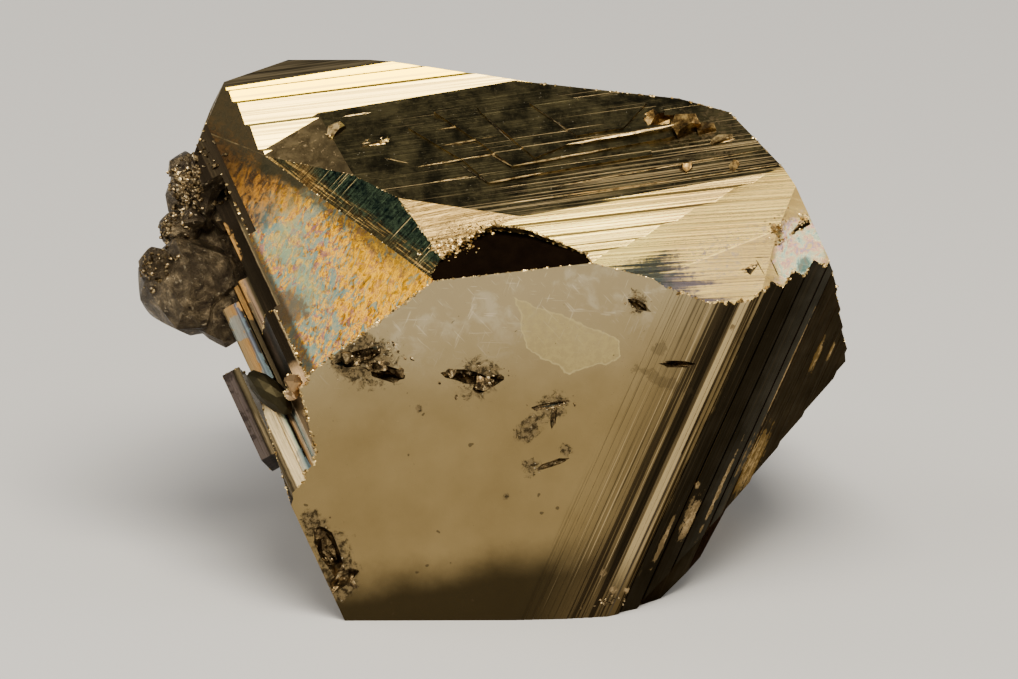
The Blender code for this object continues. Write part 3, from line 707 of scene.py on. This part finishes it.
lower_strips = flank.ramp(strip, [
    (0.300, (0.36, 0.23, 0.11)),
    (0.350, (0.52, 0.36, 0.19)),
    (0.400, (0.15, 0.19, 0.16)),
    (0.440, (0.34, 0.19, 0.07)),
    (0.455, (0.006, 0.004, 0.002)),
    (0.472, (0.006, 0.004, 0.002)),
    (0.485, (0.28, 0.32, 0.22)),
    (0.520, (0.80, 0.60, 0.30)),
    (0.640, (0.78, 0.58, 0.29)),
    (0.655, (0.10, 0.07, 0.035)),
    (0.670, (0.20, 0.145, 0.07)),
    (0.690, (0.02, 0.015, 0.008)),
    (0.715, (0.15, 0.11, 0.055)),
    (0.740, (0.012, 0.009, 0.005)),
    (0.770, (0.062, 0.047, 0.038)),
    (0.900, (0.050, 0.038, 0.031)),
])
flank.colour = flank.mix(
    flank.between(flank_along + (flank_wear - 0.5), 6.2, 7.4), middle_strips, lower_strips
)
worn_edge = (flank_wear - 0.5) * 3.0
blue_end = flank.patch(flank_across, flank_along, (4.2, 0.7), (0.7, 1.0), worn_edge)
blue_end = blue_end + flank.patch(flank_across, flank_along, (3.6, 4.6), (0.25, 1.6), worn_edge)
blue_end = blue_end + flank.patch(flank_across, flank_along, (4.0, 12.3), (0.30, 1.6), worn_edge)
flank.lay(blue_end * 0.6, (0.11, 0.15, 0.15))
olive = flank.mix(flank_wear, (0.030, 0.022, 0.011), (0.135, 0.100, 0.048))
upper_end = flank.between(flank_along + (flank_wear - 0.5) * 2.0, 1.6, 0.6)
rim = upper_end * flank.between(flank_across, 0.95, 0.80)
flank.lay(rim, olive)
# Painted shadow: a thin black line beside the left face's edge, at the flank's upper end.
painted_shadow_line = flank.between(flank_across + (flank_wear - 0.5) * 0.1, 0.16, 0.08) * upper_end
flank.lay(painted_shadow_line * 0.9, (0.006, 0.004, 0.003))
corner_strip = flank.between(flank_across, 0.62, 0.50)
corner_strip = corner_strip * flank.between(flank_along + flank_wear, 5.2, 3.8)
flank.lay(corner_strip * 0.95, (0.022, 0.016, 0.009))
outer = flank.between(flank_along, -5.5, -6.5) * flank.between(flank_across, 0.35, 0.75)
flank.lay(outer * 0.85, (0.014, 0.010, 0.006))
orange_bar = flank.patch(flank_across, flank_along, (3.0, -1.4), (0.55, 1.6), worn_edge)
lower_bar = flank.patch(flank_across, flank_along, (2.1, -5.0), (0.45, 1.6), worn_edge)
orange_bar = orange_bar + lower_bar
flank.lay(orange_bar * 0.8, (0.38, 0.20, 0.055))
flank.lay(flank.between(flank_lines, 0.57, 0.64) * 0.55, (0.02, 0.014, 0.008))
blotches = flank.between(flank.noise(flank.place, 0.9, 3.0, 0.5), 0.54, 0.62)
blotches = blotches * flank.between(flank_across, 5.9, 6.1)
flank.lay(blotches * 0.75, (0.016, 0.012, 0.010))
flank_skin = flank.finish(None, flank_lines + flank_wear, 0.35, 0.00008)

# Knobs: dull dark brown with cream spots and painted golden sparkles. The oval knob below them is
# plain olive.
knob = Paint("knob_skin", 0.9, 0.38)
knob_clouds = knob.noise(knob.place, 1.1, 7.0, 0.75, 0.4)
knob.colour = knob.ramp(knob_clouds, [
    (0.36, (0.020, 0.014, 0.009)),
    (0.50, (0.085, 0.062, 0.034)),
    (0.58, (0.16, 0.120, 0.068)),
    (0.66, (0.34, 0.25, 0.135)),
    (0.74, (0.85, 0.66, 0.40)),
])
lump_tones = knob.noise(knob.place, 0.45, 2.0, 0.5)
knob.lay(knob.between(lump_tones, 0.55, 0.42) * 0.6, (0.028, 0.020, 0.012))
# Painted highlights: golden sparkles, strongest on the upper lump.
painted_sparkles = knob.between(knob.noise(knob.place, 2.6, 3.0, 0.6), 0.62, 0.68)
upper_lump = knob.spot((-20.2, 14.4, 0.6), 3.4, 0.4)
knob.lay(painted_sparkles * (upper_lump * 0.75 + 0.2), (0.95, 0.78, 0.50))
knob_skin = knob.finish(None, knob_clouds + painted_sparkles * 0.3, 0.8, 0.0004)

oval = Paint("oval_knob", 1.0, 0.5)
oval_clouds = oval.noise(oval.place, 0.9, 5.0, 0.6)
oval.colour = oval.mix(oval_clouds, (0.018, 0.015, 0.007), (0.050, 0.041, 0.021))
oval_skin = oval.finish(None, oval_clouds, 0.4, 0.0001)

pit = Paint("pit_skin", 1.0, 0.40)
pit_clouds = pit.noise(pit.place, 2.2, 5.0, 0.75)
pit.colour = pit.ramp(pit_clouds, [
    (0.38, (0.020, 0.013, 0.007)),
    (0.50, (0.095, 0.064, 0.030)),
    (0.58, (0.24, 0.170, 0.080)),
    (0.68, (0.60, 0.46, 0.25)),
])
pit_skin = pit.finish(None, pit_clouds, 0.5, 0.0001)

brown = Paint("brown_crystals", 1.0, 0.36)
brown_clouds = brown.noise(brown.place, 1.6, 5.0, 0.7)
brown.colour = brown.ramp(brown_clouds, [
    (0.36, (0.030, 0.018, 0.006)),
    (0.50, (0.12, 0.070, 0.022)),
    (0.66, (0.46, 0.30, 0.10)),
])
brown_skin = brown.finish(None, brown_clouds, 0.4, 0.0001)

back = Paint("back_face", 1.0, 0.40)
back_clouds = back.noise(back.place, 0.35, 6.0, 0.65)
back_lines = back.lines(back.across(35.0), back.z, 2.2, 0.04)
back.colour = back.mix(back_clouds, (0.06, 0.046, 0.022), (0.34, 0.26, 0.135))
back.lay(back.between(back_lines, 0.58, 0.66) * 0.5, (0.03, 0.022, 0.012))
back_skin = back.finish(None, back_clouds + back_lines * 0.5, 0.5, 0.00015)

skins = [
    front_skin, right_skin, riser_skin, upper_skin, ridge_skin, crest_skin, top_skin, top_left_skin,
    ledge_skin, left_skin, left_upper_skin, shoulder_skin, hollow_skin, flank_skin, knob_skin,
    oval_skin, pit_skin, brown_skin, back_skin,
]
for skin in skins:
    crystal.data.materials.append(skin)
SKIN = {skin.name: number for number, skin in enumerate(skins)}

# Planes, and small things with their middle and radius, that tell the facets apart.
SAME_LOOK = 0.9996
LEVEL_TILT = 3.0
NOTCH_REACH = 17.25
TOP_LOOK = outward(90.0, 58.0)
TOP_LEFT_LOOK = outward(97.1, 56.8)
SHOULDER_LOOK = outward(95.0, 48.8)
NOTCH_LOOK = outward(88.4, 48.0)
KNOBS = [((-21.8, 8.2, 2.4), 4.3), ((-19.8, 6.3, 4.0), 2.7), ((-21.9, 11.7, 0.6), 2.0),
         ((-19.9, 14.2, -0.2), 3.2), ((-21.4, 15.9, -0.4), 1.5), ((-24.2, 10.5, 3.4), 1.4)]
BROWN_CRYSTALS = [((13.3, 16.1, 7.4), 1.5), ((11.0, 16.7, 6.4), 1.2), ((14.7, 15.8, 7.7), 0.9),
                  ((12.7, 14.1, 10.5), 0.6), ((16.0, 13.9, 11.0), 0.6)]
PITS = [((-11.9, 5.2, 15.0), 2.3), ((-10.1, 3.8, 15.0), 2.0), ((-4.5, 2.7, 15.0), 2.2),
        ((-3.1, 2.0, 15.0), 1.7), ((1.1, -0.5, 15.0), 1.7), ((0.7, -4.4, 15.0), 1.4),
        ((-15.3, -8.6, 15.0), 2.4), ((-14.6, -10.6, 15.0), 1.9), ((7.9, 6.1, 15.0), 1.2),
        ((10.2, 1.4, 14.8), 1.6)]
PALE_CHIP = Vector((15.6, 15.2, 8.7))
OVAL_MIDDLE = Vector((-17.9, 2.5, 11.6))
OVAL_AXIS = Vector((0.55, -0.60, 0.58)).normalized()


def skin_of(face):
    """Which face of the crystal a facet belongs to."""
    normal = TO_CRYSTAL @ face.normal
    middle = in_crystal(face.center)
    azimuth = math.degrees(math.atan2(normal.y, normal.x))
    tilt = math.degrees(math.acos(max(-1.0, min(1.0, normal.z))))
    over_top = middle.dot(TOP_LOOK) - TOP_REACH
    down_flank = (middle - FLANK_CORNER).dot(FLANK_ACROSS)
    if (middle - PALE_CHIP).length < 0.9 and normal.dot(TOP_LOOK) < SAME_LOOK:
        return "ledge_face"
    for centre, radius in BROWN_CRYSTALS:
        if (middle - Vector(centre)).length < radius and normal.dot(TOP_LOOK) < SAME_LOOK:
            return "brown_crystals"
    oval_reach = middle - OVAL_MIDDLE
    if oval_reach.length < 2.4 and oval_reach.cross(OVAL_AXIS).length < 1.25:
        if face.area < 1.2 * MILLIMETRE ** 2:
            return "oval_knob"
    for centre, radius in PITS:
        steep = tilt > LEVEL_TILT and abs(tilt - 31.0) > 1.0
        if (middle - Vector(centre)).length < radius and steep:
            return "pit_skin"
    for centre, radius in KNOBS:
        if (middle - Vector(centre)).length < radius:
            return "knob_skin"
    over_notch = middle.dot(NOTCH_LOOK) - NOTCH_REACH
    if abs(over_notch) < 0.06 and normal.dot(NOTCH_LOOK) > 0.999:
        return "hollow_face"
    if 0.0 < over_notch < 1.2 and abs(normal.dot(NOTCH_LOOK)) < 0.3 and -7.0 < middle.x < 6.0:
        return "ledge_face"
    if -0.1 < over_top < 0.75 and abs(normal.dot(TOP_LOOK)) < 0.3:
        if -10 < middle.x < 14 and middle.y > 13:
            return "ledge_face"
    if middle.x < -12.5 and down_flank > 0.3 and LEVEL_TILT < tilt < 100.0:
        return "flank_face"
    if tilt > 100.0:
        return "back_face"
    across_lines = middle.x * 0.866 - middle.y * 0.5
    if azimuth > 130.0 and middle.z > 11.5 and across_lines > 4.0:
        return "right_side_face"
    if tilt < LEVEL_TILT and middle.z > 12.0:
        return "front_face" if across_lines < 5.1 else "right_side_face"
    if -75.0 < azimuth < -15.0:
        return "line_shadow" if tilt > 30.0 and across_lines < 11.4 else "right_side_face"
    if normal.dot(TOP_LEFT_LOOK) > SAME_LOOK and over_top < 0.3:
        return "top_left_face"
    if normal.dot(TOP_LOOK) > SAME_LOOK and over_top < 0.8:
        return "top_face"
    if 112 < azimuth < 130 and 35 < tilt < 50:
        return "left_face"
    if over_top > 0.04 and azimuth > 112:
        return "ledge_face"
    if over_top > 0.04 and azimuth > 60:
        return "ridge_face" if tilt < 64.0 or over_top < 0.5 else "crest_face"
    if 101 < azimuth <= 112 and 40 < tilt < 52:
        return "left_upper_face"
    if normal.dot(SHOULDER_LOOK) > SAME_LOOK:
        return "shoulder_face"
    if middle.x > 15.5 and azimuth > 70.0 and tilt > 35.0 and over_top < -2.0:
        return "pit_skin"
    if middle.x > 4.0 and abs(azimuth) < 30 and 60 < tilt:
        return "right_side_face"
    if azimuth < 100 and tilt < 75:
        return "upper_face"
    return "back_face"


for face in crystal.data.polygons:
    face.material_index = SKIN[skin_of(face)]

# The knobs are rounder and rougher than their facets.
bpy.ops.object.select_all(action="DESELECT")
crystal.select_set(True)
bpy.context.view_layer.objects.active = crystal
bpy.ops.object.mode_set(mode="EDIT")
bpy.ops.mesh.select_all(action="DESELECT")
bpy.ops.object.mode_set(mode="OBJECT")
for face in crystal.data.polygons:
    face.select = face.material_index == SKIN["knob_skin"]
bpy.ops.object.mode_set(mode="EDIT")
bpy.ops.mesh.select_mode(type="FACE")
bpy.ops.mesh.quads_convert_to_tris()
bpy.ops.mesh.subdivide(number_cuts=4, smoothness=0.25, fractal=0.30, seed=4)
bpy.ops.object.mode_set(mode="OBJECT")
low = Vector(solid_box[0])
high = Vector(solid_box[1])
for vertex in crystal.data.vertices:
    for axis in range(3):
        vertex.co[axis] = min(max(vertex.co[axis], low[axis]), high[axis])
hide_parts("crystal")
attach(crystal, "root")

# Crumbs along the edges.
# Where two faces meet, the brittle crystal has chipped into a row of tiny bright grains.
CRUMB_SIZES = (0.035, 0.13)
CRUMB_SPACING = 0.16
CRUMB_MARGIN = 1.9
SHARP_BEND = 0.35
chance = random.Random(11)
crumb_shapes = []
for number in range(6):
    bpy.ops.mesh.primitive_ico_sphere_add(subdivisions=1, radius=1.0)
    shape = bpy.context.object
    for vertex in shape.data.vertices:
        vertex.co = vertex.co * chance.uniform(0.65, 1.15)
    crumb_shapes.append(shape)

crumb_paint = Paint("edge_crumbs", 1.0, 0.28)
crumb_tone = crumb_paint.noise(crumb_paint.place, 2.4, 3.0, 0.7)
crumb_paint.colour = crumb_paint.ramp(crumb_tone, [
    (0.36, (0.05, 0.032, 0.012)),
    (0.47, (0.40, 0.26, 0.09)),
    (0.60, (0.95, 0.72, 0.32)),
])
crumb_skin = crumb_paint.finish()
grain_paint = Paint("pit_grains", 1.0, 0.36)
grain_tone = grain_paint.noise(grain_paint.place, 2.8, 3.0, 0.7)
grain_paint.colour = grain_paint.ramp(grain_tone, [
    (0.40, (0.03, 0.02, 0.010)),
    (0.52, (0.16, 0.11, 0.05)),
    (0.64, (0.62, 0.48, 0.27)),
])
grain_skin = grain_paint.finish()

# Two faces that meet, the share of their edge that has grains, and how large the grains are.
CRUMBLY = [
    ("left_face", "front_face", 1.0, 1.7),
    ("left_upper_face", "hollow_face", 1.0, 1.2),
    ("left_upper_face", "shoulder_face", 0.9, 1.2),
    ("shoulder_face", "ledge_face", 1.0, 2.0),
    ("hollow_face", "ledge_face", 0.9, 1.1),
    ("upper_face", "ledge_face", 1.0, 1.4),
    ("front_face", "hollow_face", 0.9, 0.9),
    ("front_face", "upper_face", 0.8, 0.9),
    ("right_side_face", "upper_face", 1.0, 1.6),
    ("left_face", "left_upper_face", 0.35, 0.7),
    ("left_face", "ridge_face", 0.5, 0.8),
    ("left_face", "flank_face", 0.8, 1.1),
    ("front_face", "flank_face", 1.0, 1.6),
    ("left_upper_face", "top_face", 0.6, 0.8),
    ("left_upper_face", "top_left_face", 0.5, 0.7),
    ("front_face", "back_face", 0.7, 1.2),
    ("right_side_face", "back_face", 0.5, 1.0),
    ("top_face", "back_face", 0.5, 1.1),
    ("ridge_face", "top_face", 0.4, 0.7),
    ("flank_face", "back_face", 0.6, 1.2),
]
crumbs_between = {frozenset(row[:2]): row[2:] for row in CRUMBLY}


def fits(place, radius):
    """Whether a grain there stays inside the solid's own box."""
    margin = radius * CRUMB_MARGIN
    return all(low[axis] + margin < place[axis] < high[axis] - margin for axis in range(3))


meeting = {}
for face in crystal.data.polygons:
    for key in face.edge_keys:
        meeting.setdefault(key, []).append(face)
spots = []
for (first, second), faces in meeting.items():
    if len(faces) != 2:
        continue
    names = frozenset(skins[face.material_index].name for face in faces)
    bend = faces[0].normal.angle(faces[1].normal)
    if names not in crumbs_between or ("back_face" in names and bend < SHARP_BEND):
        continue
    share, growth = crumbs_between[names]
    start = crystal.data.vertices[first].co
    end = crystal.data.vertices[second].co
    length = (end - start).length / MILLIMETRE
    count = length / CRUMB_SPACING
    for number in range(int(count) + (1 if chance.random() < count % 1 else 0)):
        if chance.random() > share:
            continue
        radius = chance.uniform(*CRUMB_SIZES) * growth * MILLIMETRE
        inward = -(faces[0].normal + faces[1].normal).normalized()
        place = start.lerp(end, chance.random()) + inward * radius * chance.uniform(0.2, 0.7)
        if fits(place, radius):
            spots.append((place, radius))

# Clusters of grains: middle, spread along the crystal's x and y, number, size and facing.
UPPER_LOOK = outward(-4.8, 36.8)
KNOB_LOOK = outward(150.0, 55.0)
RIGHT_LOOK = outward(46.2, 13.9)
CLUSTERS = [
    ((-4.6, 11.7, 13.4), (1.5, 0.9), 150, 0.11, SHOULDER_LOOK),
    ((-2.6, 12.6, 12.7), (1.6, 0.5), 60, 0.09, SHOULDER_LOOK),
    ((18.5, 9.4, 13.2), (0.9, 0.9), 34, 0.11, UPPER_LOOK),
    ((20.4, 9.6, 11.6), (0.4, 0.3), 40, 0.12, UPPER_LOOK),
    ((16.25, 7.4, 13.9), (0.35, 0.15), 16, 0.08, RIGHT_LOOK),
    ((-11.0, 4.8, 15.0), (1.9, 1.1), 60, 0.12, None),
    ((-3.7, 2.4, 15.0), (1.6, 0.9), 55, 0.11, None),
    ((1.1, -0.3, 15.0), (1.3, 0.5), 24, 0.08, None),
    ((-15.6, -9.0, 15.0), (0.9, 2.2), 50, 0.11, None),
    ((7.8, 6.2, 15.0), (0.6, 0.6), 14, 0.08, None),
    ((3.6, -15.2, 15.0), (1.6, 0.4), 24, 0.12, None),
    ((-20.0, 14.6, 0.6), (2.6, 2.2), 260, 0.20, KNOB_LOOK),
    ((-21.9, 11.7, 0.6), (1.3, 1.4), 60, 0.16, KNOB_LOOK),
    ((-23.6, 9.8, 3.4), (1.6, 1.2), 60, 0.16, KNOB_LOOK),
]
HOVER = 0.006
SPREAD = 0.6
FULL_TURN = 6.28
surface = BVHTree.FromObject(crystal, bpy.context.evaluated_depsgraph_get())
pit_spots = []
for centre, reach, count, size, facing in CLUSTERS:
    look = ATTITUDE @ (facing if facing is not None else outward(0.0, 0.0))
    dark = facing is None or facing is KNOB_LOOK
    for number in range(count):
        offset = Vector((chance.gauss(0, reach[0]), chance.gauss(0, reach[1]), 0.0)) * SPREAD
        start = in_model(Vector(centre) + offset) + look * HOVER
        hit = surface.ray_cast(start, -look, 2 * HOVER)
        if hit[0] is not None:
            radius = size * chance.uniform(0.4, 1.3) * MILLIMETRE
            if fits(hit[0], radius):
                chosen = pit_spots if dark else spots
                chosen.append((hit[0] + look * radius * 0.1, radius))


def scattered(places):
    """A grain of random shape and turn at every place."""
    for place, radius in places:
        shape = chance.choice(crumb_shapes)
        crumb = bpy.data.objects.new("crumb", shape.data.copy())
        bpy.context.scene.collection.objects.link(crumb)
        turned = Matrix.Rotation(chance.uniform(0, FULL_TURN), 4, "X")
        turned = turned @ Matrix.Rotation(chance.uniform(0, FULL_TURN), 4, "Z")
        stretch = Matrix.Diagonal((chance.uniform(0.7, 1.6), 1.0, chance.uniform(0.6, 1.0), 1.0))
        crumb.data.transform(
            Matrix.Translation(place) @ Matrix.Scale(radius, 4) @ turned @ stretch
        )
        crumb.select_set(True)


def joined(name, skin):
    """Joins the selected shapes into one piece that stays with the crystal."""
    bpy.context.view_layer.objects.active = bpy.context.selected_objects[0]
    bpy.ops.object.join()
    piece = bpy.context.object
    piece.name = name
    piece.data.name = name
    piece.data.materials.clear()
    piece.data.materials.append(skin)
    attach(piece, "root")


bpy.ops.object.select_all(action="DESELECT")
scattered(spots)
joined("edge_grains", crumb_skin)
bpy.ops.object.select_all(action="DESELECT")
scattered(pit_spots)
for shape in crumb_shapes:
    bpy.data.objects.remove(shape)
joined("pit_grains", grain_skin)

# Bright lips of the growth terraces.
# Each terrace of the top face ends in a thin bright step, and more of them run along the
# face's lower border. They are part of the crystal, raised by a few hundredths of a millimetre.
LIP_RISE = 0.06
SLANT = 0.9
LIP_HOVER = 0.002
# Both ends of each lip and its width, on the right end of the upper face and on the top face.
RIGHT_LIPS = [
    ((16.50, 7.83, 13.73), (16.99, 6.62, 13.86), 0.12),
    ((16.99, 6.62, 13.86), (17.70, 5.70, 13.40), 0.10),
    ((16.40, 7.95, 13.75), (17.60, 7.75, 13.50), 0.09),
    ((17.10, 7.75, 13.60), (17.75, 6.00, 13.30), 0.09),
    ((17.55, 7.65, 13.50), (18.05, 6.10, 13.00), 0.09),
]
TOP_LIPS = [
    ((-0.39, 17.98, 4.45), (2.47, 15.23, 8.84), 0.13),
    ((3.04, 18.04, 4.35), (5.75, 16.11, 7.43), 0.11),
    ((-2.54, 15.78, 7.97), (-0.99, 14.67, 9.74), 0.12),
    ((-0.45, 16.07, 7.49), (0.84, 15.24, 8.82), 0.12),
    ((0.84, 15.24, 8.82), (8.23, 15.46, 8.47), 0.15),
    ((-0.99, 14.67, 9.74), (2.82, 14.79, 9.54), 0.14),
    ((-5.67, 15.99, 7.63), (1.80, 16.00, 7.61), 0.12),
    ((-3.62, 16.79, 6.34), (0.29, 16.80, 6.32), 0.13),
    ((-5.14, 17.59, 5.06), (-0.66, 17.60, 5.05), 0.13),
    ((-0.41, 18.33, 3.88), (3.12, 18.28, 3.96), 0.18),
    ((4.81, 15.85, 7.85), (12.65, 15.93, 7.73), 0.30),
    ((2.80, 14.09, 10.67), (18.93, 14.50, 10.01), 0.12),
    ((3.67, 13.50, 11.61), (19.72, 13.66, 11.35), 0.14),
    ((-0.55, 13.62, 11.42), (12.94, 13.58, 11.47), 0.12),
    ((8.37, 14.79, 9.54), (18.40, 15.05, 9.12), 0.13),
    ((-9.03, 17.43, 5.32), (-7.11, 17.44, 5.31), 0.45),
    ((-9.80, 18.96, 2.87), (-7.88, 18.97, 2.85), 0.25),
    ((-5.03, 15.12, 9.02), (-2.17, 15.19, 8.91), 0.12),
    ((-7.72, 16.64, 6.58), (-6.08, 16.23, 7.24), 0.12),
    ((14.75, 15.35, 9.0), (16.55, 15.42, 9.0), 0.55),
]
LIPS = [(*row, RIGHT_LOOK) for row in RIGHT_LIPS] + [(*row, TOP_LOOK) for row in TOP_LIPS]


def on_face(point, look):
    """The point moved onto the crystal along a face's own direction."""
    start = in_model(point) + look * LIP_HOVER
    hit = surface.ray_cast(start, -look, 2 * LIP_HOVER)
    return hit[0] if hit[0] is not None else in_model(point)


bpy.ops.object.select_all(action="DESELECT")
lips = []
slopes = []
for start, end, width, facing in LIPS:
    bpy.ops.mesh.primitive_cylinder_add(vertices=3, radius=1.0, depth=1.0)
    lip = bpy.context.object
    lip.name = "terrace_lip"
    look = (ATTITUDE @ facing).normalized()
    first = on_face(start, look)
    last = on_face(end, look)
    along = (last - first).normalized()
    side = look.cross(along).normalized()
    bpy.ops.object.mode_set(mode="EDIT")
    bpy.ops.mesh.select_all(action="SELECT")
    bpy.ops.mesh.subdivide(number_cuts=6)
    bpy.ops.object.mode_set(mode="OBJECT")
    for vertex in lip.data.vertices:
        reach = vertex.co.z + 0.5
        taper = min(1.0, 6.0 * reach, 6.0 * (1.0 - reach)) * chance.uniform(0.75, 1.15)
        across = vertex.co.x * width * 0.5 * MILLIMETRE * taper
        rise = vertex.co.y * LIP_RISE * MILLIMETRE * taper
        vertex.co = first.lerp(last, reach) + side * across + look * rise
    slanting = facing is TOP_LOOK and abs(start[1] - end[1]) > SLANT
    (slopes if slanting or facing is RIGHT_LOOK else lips).append(lip)
bpy.ops.object.select_all(action="DESELECT")
for lip in lips:
    lip.select_set(True)
joined("terrace_lips", ledge_skin)
bpy.ops.object.select_all(action="DESELECT")
for lip in slopes:
    lip.select_set(True)
joined("terrace_slopes", crest_skin)
